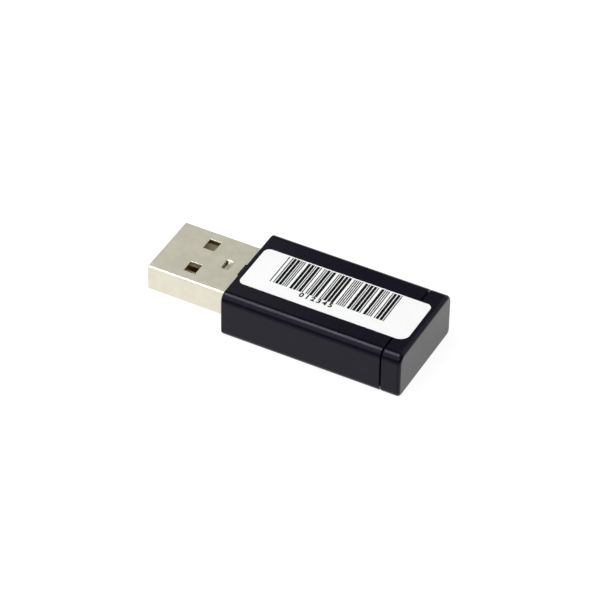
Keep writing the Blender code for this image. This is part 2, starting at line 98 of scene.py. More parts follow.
class Finish:
    """A Principled material whose colour, roughness and relief come from noise in object space."""

    def __init__(self, name, **sockets):
        self.material = bpy.data.materials.new(name)
        self.material.use_nodes = True
        self.nodes = self.material.node_tree.nodes
        self.links = self.material.node_tree.links
        self.shader = self.nodes["Principled BSDF"]
        for socket, value in sockets.items():
            self.shader.inputs[socket.replace("_", " ")].default_value = value
        self.place = self.nodes.new("ShaderNodeTexCoord").outputs["Object"]
        self.normal = None

    def feed(self, socket, value):
        """Links another node's output to the socket, or sets the socket to a plain value."""
        if isinstance(value, bpy.types.NodeSocket):
            self.links.new(value, socket)
        else:
            socket.default_value = value

    def node(self, kind, inputs=None, **settings):
        made = self.nodes.new(kind)
        for setting, value in settings.items():
            setattr(made, setting, value)
        for socket, value in (inputs or {}).items():
            self.feed(made.inputs[socket], value)
        return made

    def noise(self, feature, stretch=(1, 1, 1), detail=4.0, roughness=0.55):
        """Noise from 0 to 1 whose features are about the given size, in metres."""
        mapped = self.node("ShaderNodeMapping", {"Vector": self.place, "Scale": stretch})
        inputs = {
            "Vector": mapped.outputs["Vector"],
            "Scale": 1 / feature,
            "Detail": detail,
            "Roughness": roughness,
        }
        return self.node("ShaderNodeTexNoise", inputs).outputs["Fac"]

    def span(self, value, low, high, start=0.35, end=0.65):
        """The value's middle stretch, spread from low to high."""
        inputs = {"Value": value, "From Min": start, "From Max": end, "To Min": low, "To Max": high}
        return self.node("ShaderNodeMapRange", inputs).outputs["Result"]

    def mix(self, factor, first, second):
        made = self.node("ShaderNodeMix", {"Factor": factor}, data_type="RGBA")
        self.feed(made.inputs[MIX_FIRST], first)
        self.feed(made.inputs[MIX_SECOND], second)
        return made.outputs[MIX_RESULT]

    def maths(self, operation, *values):
        made = self.node("ShaderNodeMath", operation=operation)
        for socket, value in zip(made.inputs, values):
            self.feed(socket, value)
        return made.outputs[0]

    def colour(self, value):
        self.links.new(value, self.shader.inputs["Base Color"])

    def roughness(self, value):
        self.links.new(value, self.shader.inputs["Roughness"])

    def relief(self, value, depth):
        """Bump of the given depth in metres, added to what is there already."""
        inputs = {"Height": value, "Distance": depth}
        if self.normal:
            inputs["Normal"] = self.normal
        self.normal = self.node("ShaderNodeBump", inputs).outputs["Normal"]
        self.links.new(self.normal, self.shader.inputs["Normal"])


def black_plastic():
    """Satin moulded ABS: a fine spark-eroded grain, cloudy gloss and a few faint handling marks."""
    made = Finish("black_plastic", IOR=1.62, Specular_Tint=(0.097, 0.096, 0.12, 1))
    cloud = made.noise(2.4 * MM, detail=3.0)
    mottle = made.noise(0.4 * MM, detail=5.0, roughness=0.7)
    made.colour(made.mix(made.span(mottle, 0, 1), srgb(4, 3, 11), srgb(11, 10, 24)))
    grain = made.noise(0.07 * MM, detail=2.0)
    rub = made.noise(0.5 * MM, stretch=(0.12, 1, 1), detail=5.0)
    gloss = made.maths("ADD", made.span(cloud, 0.2, 0.24), made.span(rub, 0.0, 0.06, 0.55, 0.75))
    made.roughness(gloss)
    made.relief(grain, 0.0016 * MM)
    made.relief(cloud, 0.004 * MM)
    return made.material


def nickel_plate(name, dark, light):
    """Warm nickel plating on rolled steel: rolling lines along the plug and a mottled satin gloss."""
    made = Finish(name, Metallic=1.0)
    cloud = made.noise(1.1 * MM, detail=3.0)
    rolling = made.noise(0.05 * MM, stretch=(0.03, 1, 1), detail=3.0)
    made.colour(made.mix(made.span(cloud, 0, 1), dark, light))
    gloss = made.maths("ADD", made.span(cloud, 0.46, 0.5), made.span(rolling, 0.0, 0.03))
    made.roughness(gloss)
    made.relief(rolling, 0.0003 * MM)
    made.relief(made.noise(0.12 * MM, detail=2.0), 0.0004 * MM)
    return made.material


def ivory_nylon():
    made = Finish("ivory_nylon", Subsurface_Weight=0.08, Subsurface_Scale=0.4 * MM)
    cloud = made.noise(1.2 * MM, detail=3.0)
    made.colour(made.mix(made.span(cloud, 0, 1), srgb(228, 213, 178), srgb(238, 227, 197)))
    made.roughness(made.span(cloud, 0.42, 0.55))
    made.relief(made.noise(0.09 * MM), 0.003 * MM)
    return made.material


def gold_plate():
    """Gold flash with fine draw lines along the contacts."""
    made = Finish("gold_plate", Metallic=1.0)
    wear = made.noise(0.3 * MM, stretch=(0.2, 1, 1))
    made.colour(made.mix(made.span(wear, 0, 1), srgb(176, 126, 52), srgb(204, 156, 74)))
    made.roughness(made.span(wear, 0.22, 0.36))
    made.relief(made.noise(0.06 * MM, stretch=(0.05, 1, 1)), 0.001 * MM)
    return made.material


def label_film():
    """White printed film with a faint fibre grain under a dull varnish."""
    made = Finish("label_film", Specular_IOR_Level=0.4)
    fibre = made.noise(0.25 * MM, detail=6.0, roughness=0.7)
    cloud = made.noise(3.0 * MM, detail=2.0)
    made.colour(made.mix(made.span(fibre, 0, 1), srgb(217, 218, 217), srgb(223, 224, 223)))
    made.roughness(made.span(cloud, 0.42, 0.52))
    made.relief(fibre, 0.002 * MM)
    made.relief(cloud, 0.006 * MM)
    return made.material


def printed_ink():
    """Thermal-transfer black, a little thin where the ribbon skipped."""
    made = Finish("printed_ink", Specular_IOR_Level=0.1)
    skip = made.noise(0.12 * MM, detail=4.0, roughness=0.7)
    made.colour(made.mix(made.span(skip, 0, 1, 0.6, 0.8), srgb(9, 8, 12), srgb(26, 25, 28)))
    made.roughness(made.span(skip, 0.5, 0.62))
    made.relief(skip, 0.001 * MM)
    return made.material


def solder_mask():
    """Green mask over copper pours, darker and lower where two pours are parted."""
    made = Finish("solder_mask", Coat_Weight=0.4, Coat_Roughness=0.15)
    pours = made.node(
        "ShaderNodeTexBrick",
        {
            "Vector": made.place,
            "Scale": 1 / (1.7 * MM),
            "Color1": srgb(24, 96, 56),
            "Color2": srgb(20, 84, 48),
            "Mortar": srgb(12, 58, 34),
            "Mortar Size": 0.06,
            "Brick Width": 1.3,
            "Row Height": 0.35,
        },
        offset=0.37,
    )
    cloud = made.noise(1.0 * MM)
    made.colour(made.mix(made.span(cloud, 0.0, 0.35), pours.outputs["Color"], srgb(30, 104, 62)))
    made.roughness(made.span(cloud, 0.3, 0.42))
    made.relief(pours.outputs["Fac"], 0.01 * MM)
    return made.material


def tinned_steel():
    made = Finish("tinned_steel", Metallic=1.0)
    cloud = made.noise(0.8 * MM, detail=5.0)
    made.colour(made.mix(made.span(cloud, 0, 1), srgb(182, 182, 180), srgb(206, 206, 203)))
    made.roughness(made.span(cloud, 0.26, 0.42))
    made.relief(made.noise(0.1 * MM), 0.002 * MM)
    return made.material


def copper_track():
    made = Finish("copper_track", Metallic=1.0)
    stain = made.noise(0.5 * MM, detail=5.0)
    made.colour(made.mix(made.span(stain, 0, 1), srgb(196, 122, 76), srgb(214, 152, 104)))
    made.roughness(made.span(stain, 0.3, 0.48))
    made.relief(stain, 0.002 * MM)
    return made.material


def chip_epoxy():
    made = Finish("chip_epoxy")
    grain = made.noise(0.05 * MM, detail=3.0)
    made.colour(made.mix(made.span(grain, 0, 1), srgb(26, 26, 28), srgb(38, 38, 41)))
    made.roughness(made.span(grain, 0.5, 0.66))
    made.relief(grain, 0.004 * MM)
    return made.material


def ferrite():
    made = Finish("ferrite")
    grain = made.noise(0.08 * MM, detail=5.0, roughness=0.7)
    made.colour(made.mix(made.span(grain, 0, 1), srgb(50, 48, 50), srgb(74, 71, 72)))
    made.roughness(made.span(grain, 0.6, 0.8))
    made.relief(grain, 0.008 * MM)
    return made.material


def two_ended(name, axis, dark, light):
    """A fired body between two tinned ends, split along one of the piece's own axes."""
    made = Finish(name)
    own = made.nodes.new("ShaderNodeTexCoord").outputs["Generated"]
    along = made.node("ShaderNodeSeparateXYZ", {"Vector": own}).outputs[axis]
    from_middle = made.maths("ABSOLUTE", made.maths("SUBTRACT", along, 0.5))
    is_end = made.maths("GREATER_THAN", from_middle, 0.5 - END_SHARE)
    grain = made.noise(0.1 * MM)
    fired = made.mix(made.span(grain, 0, 1), srgb(*dark), srgb(*light))
    tin = made.mix(made.span(grain, 0, 1), srgb(184, 184, 182), srgb(208, 208, 205))
    made.colour(made.mix(is_end, fired, tin))
    made.links.new(is_end, made.shader.inputs["Metallic"])
    made.roughness(made.span(grain, 0.34, 0.48))
    made.relief(grain, 0.003 * MM)
    return made.material


# ---------------------------------------------------------------- mesh tools


CREASE = math.radians(40)  # an edge that turns by more is sharp


def add_object(name, data, material=None):
    made = bpy.data.objects.new(name, data)
    bpy.context.scene.collection.objects.link(made)
    if material:
        data.materials.append(material)
    return made


def mesh_from(name, bm):
    mesh = bpy.data.meshes.new(name)
    bm.to_mesh(mesh)
    bm.free()
    return mesh


def closed_mesh(name, bm):
    """The mesh of a closed form, with every face looking outwards."""
    bmesh.ops.recalc_face_normals(bm, faces=bm.faces)
    return mesh_from(name, bm)


def round_edges(bm, edges, width, segments):
    bmesh.ops.bevel(bm, geom=edges, offset=width, segments=segments, profile=0.5, affect="EDGES")


def block_mesh(name, size, radius=0.0, steps=8, upper_radius=None, rims=(0.0, 0.0), rim_steps=4):
    """A box round its own centre, with its edges along X rounded by the radius.

    The two upper ones take upper_radius where one is given. The rims are the roundings round the low
    and the high X end.
    """
    bm = bmesh.new()
    bmesh.ops.create_cube(bm, size=1.0, matrix=Matrix.Diagonal((*size, 1.0)))
    if radius:
        upper = []
        lower = []
        for edge in bm.edges:
            run = edge.verts[1].co - edge.verts[0].co
            if abs(run.x) > run.length / 2:
                (upper if edge.verts[0].co.z > 0 else lower).append(edge)
        round_edges(bm, upper, upper_radius or radius, steps)
        round_edges(bm, lower, radius, steps)
    for end, rim in zip((-size.x / 2, size.x / 2), rims):
        if rim:
            edges = [e for e in bm.edges if all(abs(v.co.x - end) < SAME_PLACE for v in e.verts)]
            round_edges(bm, edges, rim, rim_steps)
    return closed_mesh(name, bm)


def block(name, low, high, material=None, **rounding):
    low = Vector(low)
    high = Vector(high)
    made = add_object(name, block_mesh(name, high - low, **rounding), material)
    made.location = (low + high) / 2
    return made


def sweep(name, outline, move):
    """A closed mesh between a flat outline and its copy moved by the given way."""
    bm = bmesh.new()
    face = bm.faces.new([bm.verts.new(point) for point in outline])
    swept = bmesh.ops.extrude_face_region(bm, geom=[face])
    moved = [item for item in swept["geom"] if isinstance(item, bmesh.types.BMVert)]
    bmesh.ops.translate(bm, verts=moved, vec=move)
    return closed_mesh(name, bm)


def combine(target, operation, *tools):
    for tool in tools:
        modifier = target.modifiers.new(tool.name, "BOOLEAN")
        modifier.operation = operation
        modifier.object = tool


def settle(target, tools=()):
    """Applies every modifier, puts the object at the origin and removes the tools it was cut with."""
    bpy.context.view_layer.update()
    graph = bpy.context.evaluated_depsgraph_get()
    mesh = bpy.data.meshes.new_from_object(target.evaluated_get(graph))
    mesh.transform(target.matrix_world)
    target.modifiers.clear()
    target.data = mesh
    target.matrix_world = Matrix.Identity(4)
    for tool in tools:
        bpy.data.objects.remove(tool)


def shade(target):
    """Shades flat faces flat and rounded ones smooth, with a crease at every sharp edge.

    The normals are weighed on a mesh in millimetres, because the modifier passes over tiny areas.
    """
    target.data.shade_smooth()
    target.data.set_sharp_from_angle(angle=CREASE)
    settle(target)
    target.data.transform(Matrix.Scale(1 / MM, 4))
    target.scale = (MM, MM, MM)
    normals = target.modifiers.new("normals", "WEIGHTED_NORMAL")
    normals.keep_sharp = True
    settle(target)


def soften(target, width):
    """Breaks the sharp edges with a small rounding."""
    bevel = target.modifiers.new("soften", "BEVEL")
    bevel.width = width
    bevel.segments = 2
    bevel.limit_method = "ANGLE"
    bevel.angle_limit = CREASE
    bevel.use_clamp_overlap = True


def dress(piece, body, slot, *nodes):
    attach(piece, body)
    if nodes:
        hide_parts(*nodes)


def arc(centre, radius, start, end, steps):
    """Points on an arc, in degrees, both ends included."""
    points = []
    for step in range(steps + 1):
        angle = math.radians(start + (end - start) * step / steps)
        points.append((centre[0] + radius * math.cos(angle), centre[1] + radius * math.sin(angle)))
    return points


# ---------------------------------------------------------------- housing and cap


UPPER_EDGE_RADIUS = 1.5 * MM
LOWER_EDGE_RADIUS = 1.0 * MM
BODY_EDGE_STEPS = 14
FRONT_RIM_RADIUS = 0.3 * MM
SEAM_RADIUS = 0.025 * MM
CAP_RIM_RADIUS = 0.55 * MM
CAP_RIM_STEPS = 8
CAVITY_RADIUS = 0.4 * MM
APERTURE_DEPTH = 3 * MM

# The mould pad on the front face
GATE_PAD_Y = (-3.02 * MM, -0.38 * MM)
GATE_PAD_FLOOR = 1.2 * MM  # below the body's top
GATE_PAD_TOP = 0.06 * MM  # below the body's top
GATE_PAD_RADIUS = 0.12 * MM
GATE_PAD_STEPS = 3

# The rails that hold the board, and the stop at its front end
RAIL_GRIP = 0.4 * MM  # of the board's edge
RAIL_ROOT = 0.3 * MM  # sunk into the wall
RAIL_LEAD = 0.2 * MM  # ahead of the board
RAIL_SHORT = 0.3 * MM  # short of the board's far end
RAIL_GAP = 0.03 * MM
UPPER_RAIL_HEIGHT = 0.7 * MM
STOP_MARGIN = 0.3 * MM  # above and below the board

GROOVE_DEPTH = 0.5 * MM
SPIGOT_WALL = 0.8 * MM
SPIGOT_NOSE_RADIUS = 0.15 * MM
POCKET_RADIUS = 0.2 * MM


def housing_guides(inner):
    """The rails and the stops, which grow from the side walls at the given distance from the middle."""
    rail_start = BOARD_LOW.x - RAIL_LEAD
    rail_end = BOARD_HIGH.x - RAIL_SHORT
    rail_floor = BOARD_HIGH.z + RAIL_GAP
    spans = {
        "lower_rail": (rail_start, rail_end, WALL - RAIL_ROOT, BOARD_LOW.z - RAIL_GAP),
        "upper_rail": (rail_start, rail_end, rail_floor, rail_floor + UPPER_RAIL_HEIGHT),
        "stop": (
            FRONT_X + FRONT_WALL / 2,
            BOARD_LOW.x - FIT,
            BOARD_LOW.z - STOP_MARGIN,
            BOARD_HIGH.z + STOP_MARGIN,
        ),
    }
    guides = []
    for side in (-1, 1):
        near_y, far_y = sorted((side * (BOARD_HIGH.y - RAIL_GRIP), side * (inner + RAIL_ROOT)))
        for name, (start, end, low, high) in spans.items():
            guides.append(block(f"{name}_{side}", (start, near_y, low), (end, far_y, high)))
    return guides


def make_housing(material):
    """The one-piece sleeve: a plug aperture in front, rails for the board inside, open at the rear."""
    half_width = BODY_HIGH.y
    inner = half_width - WALL
    housing = block(
        "housing_body",
        (FRONT_X, -half_width, BODY_LOW.z),
        BODY_HIGH,
        material,
        radius=LOWER_EDGE_RADIUS,
        upper_radius=UPPER_EDGE_RADIUS,
        steps=BODY_EDGE_STEPS,
        rims=(FRONT_RIM_RADIUS, SEAM_RADIUS),
    )
    cavity = block(
        "cavity",
        (FRONT_X + FRONT_WALL, -inner, WALL),
        (BODY_HIGH.x + BEYOND, inner, BODY_HIGH.z - WALL),
        radius=CAVITY_RADIUS,
    )
    aperture = block(
        "aperture",
        SHELL_LOW - Vector((BEYOND, FIT, FIT)),
        (FRONT_X + APERTURE_DEPTH, SHELL_HIGH.y + FIT, SHELL_HIGH.z + FIT),
        radius=SHELL_RADIUS + FIT,
    )
    pad = block(
        "gate_pad",
        (BODY_LOW.x, GATE_PAD_Y[0], BODY_HIGH.z - GATE_PAD_FLOOR),
        (FRONT_X + FRONT_WALL / 2, GATE_PAD_Y[1], BODY_HIGH.z - GATE_PAD_TOP),
        radius=GATE_PAD_RADIUS,
        steps=GATE_PAD_STEPS,
    )
    guides = housing_guides(inner)
    combine(housing, "DIFFERENCE", cavity, aperture)
    combine(housing, "UNION", pad, *guides)
    settle(housing, [cavity, aperture, pad, *guides])
    shade(housing)
    dress(housing, "housing", "black_plastic", "housing_sleeve")


def make_cap(material):
    """The end cap, its collar that makes the dark groove, and the hollow spigot inside the sleeve."""
    half_width = CAP_HIGH.y
    top = CAP_HIGH.z
    cap = block(
        "end_cap_body",
        (CAP_FRONT_X, -half_width, 0),
        CAP_HIGH,
        material,
        radius=LOWER_EDGE_RADIUS,
        upper_radius=UPPER_EDGE_RADIUS,
        steps=BODY_EDGE_STEPS,
        rims=(SEAM_RADIUS, CAP_RIM_RADIUS),
        rim_steps=CAP_RIM_STEPS,
    )
    root_x = CAP_FRONT_X + WALL / 2
    collar = block(
        "collar",
        (BODY_HIGH.x + FIT, GROOVE_DEPTH - half_width, GROOVE_DEPTH),
        (root_x, half_width - GROOVE_DEPTH, top - GROOVE_DEPTH),
        radius=LOWER_EDGE_RADIUS - GROOVE_DEPTH,
        upper_radius=UPPER_EDGE_RADIUS - GROOVE_DEPTH,
    )
    step = WALL + FIT
    spigot = block(
        "spigot",
        (CAP_LOW.x, step - half_width, step),
        (root_x, half_width - step, top - step),
        radius=CAVITY_RADIUS - FIT,
        rims=(SPIGOT_NOSE_RADIUS, 0),
    )
    inset = WALL + SPIGOT_WALL
    pocket = block(
        "pocket",
        (CAP_LOW.x - BEYOND, inset - half_width, inset),
        (CAP_HIGH.x - WALL, half_width - inset, top - inset),
        radius=POCKET_RADIUS,
        rims=(0, POCKET_RADIUS),
    )
    combine(cap, "UNION", collar, spigot)
    combine(cap, "DIFFERENCE", pocket)
    settle(cap, [collar, spigot, pocket])
    shade(cap)
    dress(cap, "cap", "black_plastic", "end_cap")


# ---------------------------------------------------------------- plug


SHEET = 0.3 * MM
SHELL_RADIUS = 0.35 * MM
SHELL_CORNER_STEPS = 8
SEAM_GAP = 0.05 * MM
CUT_EDGE_RADIUS = 0.07 * MM
CUT_EDGE_TURN = math.radians(60)

# Windows, latch slot and pressed-in tab: X is from the plug's tip
WINDOW_X = (5.16 * MM, 7.11 * MM)
WINDOW_Y = (1.87 * MM, 4.17 * MM)
SLOT_X = (9.8 * MM, 10.12 * MM)
SLOT_Y = (-0.83 * MM, 1.03 * MM)
TAB_END = 11.2 * MM
TAB_SIDE = 0.4 * MM
TAB_DEPTH = 0.5 * MM
TAB_ROWS = 14
TAB_COLUMNS = 24

# Solder arms behind the tube, and the prong under each: X is from the plug's tip
ARM_END = SHELL_HIGH.x - TIP_X
ARM_LENGTH = 2.3 * MM
ARM_HEIGHT = 1.25 * MM
TUBE_END = ARM_END - ARM_LENGTH
PRONG_WIDTH = 1.0 * MM
PRONG_INSET = 0.1 * MM  # from the arm's end
PRONG_DROP = 1.6 * MM  # below the board's top
PRONG_X = (ARM_END - PRONG_INSET - PRONG_WIDTH, ARM_END - PRONG_INSET)
ARM_Z = (BOARD_HIGH.z + FIT, BOARD_HIGH.z + FIT + ARM_HEIGHT)
PRONG_Z = (BOARD_HIGH.z - PRONG_DROP, ARM_Z[0])

# The core and the contacts in its channels
TONGUE_LENGTH = 11.65 * MM
CORE_RADIUS = 0.25 * MM
CORE_RIMS = (0.12 * MM, 0.05 * MM)
CHANNEL_START = 0.55 * MM
CHANNEL_GAP = 0.03 * MM
CONTACTS = ("contact_power", "contact_data_minus", "contact_data_plus", "contact_ground")
DIVE_STEPS = 6
BLADE_EDGE_RADIUS = 0.04 * MM


def between(value, limits):
    return limits[0] < value < limits[1]


def ease(share):
    """0 to 1 with level ends."""
    share = min(max(share, 0.0), 1.0)
    return share * share * (3 - 2 * share)


def tab_drop(x, y):
    """How far the pressed-in tab behind the slot sinks below the plug's top."""
    if not between(x, (SLOT_X[1] - TOLERANCE, TAB_END)):
        return 0.0
    along = 1 - ease((x - SLOT_X[1]) / (TAB_END - SLOT_X[1]))
    inside = min(y - SLOT_Y[0] + TAB_SIDE / 2, SLOT_Y[1] + TAB_SIDE / 2 - y)
    return TAB_DEPTH * along * ease(inside / TAB_SIDE)


def shell_section():
    """The plug's outline from one lip of its bottom seam round to the other, as (y, z) points."""
    half_width = SHELL_HIGH.y
    corner_y = half_width - SHELL_RADIUS
    low_z = SHELL_LOW.z + SHELL_RADIUS
    high_z = SHELL_HIGH.z - SHELL_RADIUS
    tab_start = SLOT_Y[0] - TAB_SIDE / 2
    tab_width = SLOT_Y[1] - SLOT_Y[0] + TAB_SIDE
    tab_lines = [tab_start + tab_width * k / TAB_COLUMNS for k in range(TAB_COLUMNS + 1)]
    top_lines = sorted({*tab_lines, *SLOT_Y, *WINDOW_Y, -WINDOW_Y[0], -WINDOW_Y[1]}, reverse=True)
    side_limits = (low_z + SAME_PLACE, high_z - SAME_PLACE)
    side_lines = [z for z in (*PRONG_Z, ARM_Z[1]) if between(z, side_limits)]

    points = [(SEAM_GAP / 2, SHELL_LOW.z)]
    points += [(y, SHELL_LOW.z) for y in WINDOW_Y]
    points += arc((corner_y, low_z), SHELL_RADIUS, -90, 0, SHELL_CORNER_STEPS)
    points += [(half_width, z) for z in side_lines]
    points += arc((corner_y, high_z), SHELL_RADIUS, 0, 90, SHELL_CORNER_STEPS)
    points += [(y, SHELL_HIGH.z) for y in top_lines]
    points += arc((-corner_y, high_z), SHELL_RADIUS, 90, 180, SHELL_CORNER_STEPS)
    points += [(-half_width, z) for z in reversed(side_lines)]
    points += arc((-corner_y, low_z), SHELL_RADIUS, 180, 270, SHELL_CORNER_STEPS)
    points += [(-y, SHELL_LOW.z) for y in reversed(WINDOW_Y)]
    points += [(-SEAM_GAP / 2, SHELL_LOW.z)]
    return points


def is_open(x, y, z):
    """Whether the sheet has a hole here, or has ended: x is from the plug's tip."""
    on_flat = abs(z - CENTRE_Z) > SHELL_HIGH.z - CENTRE_Z - TOLERANCE
    if on_flat and between(x, WINDOW_X) and between(abs(y), WINDOW_Y):
        return True
    if on_flat and z > CENTRE_Z and between(x, SLOT_X) and between(y, SLOT_Y):
        return True
    if x < TUBE_END:
        return False
    on_side = abs(y) > SHELL_HIGH.y - TOLERANCE
    in_prong = between(x, PRONG_X) and between(z, PRONG_Z)
    return not (on_side and (between(z, ARM_Z) or in_prong))


def sheet_mesh():
    """The shell's outer skin: its section carried from the tip to the arms, less every opening."""
    section = shell_section()
    tab = [SLOT_X[1] + (TAB_END - SLOT_X[1]) * k / TAB_ROWS for k in range(TAB_ROWS + 1)]
    stations = sorted({0.0, *WINDOW_X, *SLOT_X, *tab, TUBE_END, *PRONG_X, ARM_END})
    bm = bmesh.new()
    grid = []
    for x in stations:
        row = []
        for y, z in section:
            drop = tab_drop(x, y) if z > SHELL_HIGH.z - SAME_PLACE else 0.0
            row.append(bm.verts.new((TIP_X + x, y, z - drop)))
        grid.append(row)
    for i, (x0, x1) in enumerate(zip(stations, stations[1:])):
        for j, ((y0, z0), (y1, z1)) in enumerate(zip(section, section[1:])):
            if not is_open((x0 + x1) / 2, (y0 + y1) / 2, (z0 + z1) / 2):
                bm.faces.new((grid[i][j], grid[i][j + 1], grid[i + 1][j + 1], grid[i + 1][j]))
    loose = [v for v in bm.verts if not v.link_faces]
    bmesh.ops.delete(bm, geom=loose, context="VERTS")
    bm.normal_update()
    top = max(bm.faces, key=lambda face: face.calc_center_median().z)
    if top.normal.z < 0:
        bmesh.ops.reverse_faces(bm, faces=bm.faces)
    return mesh_from("plug_shell", bm)


def round_cut_edges(shell):
    """Rounds the sheet's cut edges at the tip and round the windows."""
    mesh = shell.data
    front = TIP_X + (WINDOW_X[1] + SLOT_X[0]) / 2
    bm = bmesh.new()
    bm.from_mesh(mesh)
    weight = bm.edges.layers.float.new("bevel_weight_edge")
    for edge in bm.edges:
        turns = len(edge.link_faces) == 2 and edge.calc_face_angle() > CUT_EDGE_TURN
        if turns and all(vert.co.x < front for vert in edge.verts):
            edge[weight] = 1.0
    bm.to_mesh(mesh)
    bm.free()
    bevel = shell.modifiers.new("cut_edges", "BEVEL")
    bevel.width = CUT_EDGE_RADIUS
    bevel.segments = 3
    bevel.limit_method = "WEIGHT"
    bevel.use_clamp_overlap = False
    settle(shell)


def make_shell(outer, inner):
    """One folded sheet with its seam underneath, four windows, a pressed-in tab and two solder arms."""
    shell = add_object("plug_shell", sheet_mesh(), outer)
    shell.data.materials.append(inner)
    sheet = shell.modifiers.new("sheet", "SOLIDIFY")
    sheet.thickness = SHEET
    sheet.offset = -1
    sheet.use_even_offset = True
    sheet.use_rim = True
    # The inner faces take the second material, a darker nickel that is painted shade
    sheet.material_offset = 1
    settle(shell)
    round_cut_edges(shell)
    shade(shell)
    dress(shell, "housing", "nickel_shell", "usb_shell")


def make_insulator(material):
    """The ivory core: a flat tongue with four channels, stepping up to a block at the rear."""
    core = block("plug_core", CORE_LOW, CORE_HIGH, material, radius=CORE_RADIUS, rims=CORE_RIMS)
    above = block(
        "above_tongue",
        (CORE_LOW.x - BEYOND, -BEYOND * 2, CENTRE_Z),
        (CORE_LOW.x + TONGUE_LENGTH, BEYOND * 2, CORE_HIGH.z + BEYOND),
    )
    tools = [above]
    for name in CONTACTS:
        low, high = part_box(name)
        channel = block(
            f"{name}_channel",
            (CORE_LOW.x + CHANNEL_START, low.y - CHANNEL_GAP, low.z - CHANNEL_GAP),
            (CORE_HIGH.x + BEYOND, high.y + CHANNEL_GAP, high.z + CHANNEL_GAP),
        )
        tools.append(channel)
    combine(core, "DIFFERENCE", *tools)
    settle(core, tools)
    shade(core)
    dress(core, "housing", "ivory_nylon", "plug_insulator")


def make_contacts(material):
    """Gold blades whose front ends dive into the tongue."""
    for name in CONTACTS:
        low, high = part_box(name)
        thickness = high.z - low.z
        dive = arc((low.x + thickness, low.z), thickness, 180, 90, DIVE_STEPS)
        outline = [(x, low.y, z) for x, z in (*dive, (high.x, high.z), (high.x, low.z))]
        mesh = sweep(name, outline, (0, high.y - low.y, 0))
        blade = add_object(name.replace("contact", "blade"), mesh, material)
        soften(blade, BLADE_EDGE_RADIUS)
        shade(blade)
        dress(blade, "housing", "gold_contact", name)


# ---------------------------------------------------------------- label


# Each corner's radius, and the steps of its arc
NEAR_LEFT_CORNER = (0.85 * MM, 10)
NEAR_RIGHT_CORNER = (1.6 * MM, 14)
FAR_RIGHT_CORNER = (0.85 * MM, 10)
FAR_LEFT_CORNER = (1.05 * MM, 10)
LABEL_EDGE_RADIUS = 0.02 * MM

INK = 0.008 * MM
INK_HEIGHT = INK * 0.98  # just under the label's full height
BARCODE_X = (18.82 * MM, 37.9 * MM)  # from the plug's tip
BARCODE_Y = (-2.3 * MM, 4.12 * MM)
PRINTED_DIGITS = "012345"
DIGITS_FROM_TIP = 24.2 * MM
DIGITS_Y = -3.3 * MM
DIGIT_SIZE = 1.34 * MM
DIGIT_SPACING = 1.45
DIGIT_GAIN = 0.055 * MM  # by which the ink spreads past each outline
MERGE_DISTANCE = 0.0005 * MM
# Bars and spaces of each sign, narrow 0 and wide 1, starting with a bar
BAR_SIGNS = {
    "*": "010010100",
    "0": "000110100",
    "1": "100100001",
    "2": "001100001",
    "3": "101100000",
    "4": "000110001",
    "5": "100110000",
}
NARROW = 1
WIDE = 2.8
INK_GAIN = 0.012 * MM


def make_label(film):
    """A rounded film patch that runs from the housing over the groove onto the cap."""
    low = LABEL_LOW
    high = LABEL_HIGH - UP * INK
    corners = (
        (NEAR_LEFT_CORNER, low.x, low.y, 1, 1, 180),
        (NEAR_RIGHT_CORNER, high.x, low.y, -1, 1, 270),
        (FAR_RIGHT_CORNER, high.x, high.y, -1, -1, 0),
        (FAR_LEFT_CORNER, low.x, high.y, 1, -1, 90),
    )
    outline = []
    for (radius, steps), x, y, inward_x, inward_y, start in corners:
        centre = (x + inward_x * radius, y + inward_y * radius)
        outline += arc(centre, radius, start, start + 90, steps)
    mesh = sweep("label_patch", [(x, y, low.z) for x, y in outline], (0, 0, high.z - low.z))
    label = add_object("label_patch", mesh, film)
    soften(label, LABEL_EDGE_RADIUS)
    shade(label)
    dress(label, "housing", "label_film", "label")


def make_barcode(ink):
    """Bars for a plain run of digits, framed by a start and a stop sign."""
    signs = [BAR_SIGNS[sign] for sign in f"*{PRINTED_DIGITS}*"]
    widths = [[WIDE if bit == "1" else NARROW for bit in sign] for sign in signs]
    gaps = (len(signs) - 1) * NARROW
    module = (BARCODE_X[1] - BARCODE_X[0]) / (sum(map(sum, widths)) + gaps)
    middle_y = sum(BARCODE_Y) / 2
    length = BARCODE_Y[1] - BARCODE_Y[0]
    x = TIP_X + BARCODE_X[0]
    bm = bmesh.new()
    for sign in widths:
        for index, modules in enumerate(sign):
            width = module * modules
            if index % 2 == 0:
                centre = Vector((x + width / 2, middle_y, LABEL_HIGH.z - INK / 2))
                size = Matrix.Diagonal((width + INK_GAIN, length, INK_HEIGHT, 1.0))
                bmesh.ops.create_cube(bm, size=1.0, matrix=Matrix.Translation(centre) @ size)
            x += width
        x += module * NARROW
    bars = add_object("barcode_bars", closed_mesh("barcode_bars", bm), ink)
    dress(bars, "housing", "label_film")


def make_digits(ink):
    """The same digits under the bars, as thin raised print."""
    text = bpy.data.curves.new("digit_text", "FONT")
    text.body = PRINTED_DIGITS
    text.size = DIGIT_SIZE
    text.space_character = DIGIT_SPACING
    text.extrude = INK_HEIGHT / 2
    text.offset = DIGIT_GAIN
    lettering = add_object("digit_text", text)
    bpy.context.view_layer.update()
    graph = bpy.context.evaluated_depsgraph_get()
    bm = bmesh.new()
    bm.from_mesh(lettering.evaluated_get(graph).to_mesh())
    bpy.data.objects.remove(lettering)
    bmesh.ops.remove_doubles(bm, verts=bm.verts, dist=MERGE_DISTANCE)
    place = (TIP_X + DIGITS_FROM_TIP, DIGITS_Y, LABEL_HIGH.z - INK / 2)
    bmesh.ops.translate(bm, verts=bm.verts, vec=place)
    digits = add_object("label_digits", closed_mesh("label_digits", bm), ink)
    dress(digits, "housing", "label_film")


# ---------------------------------------------------------------- what stays from the CAD


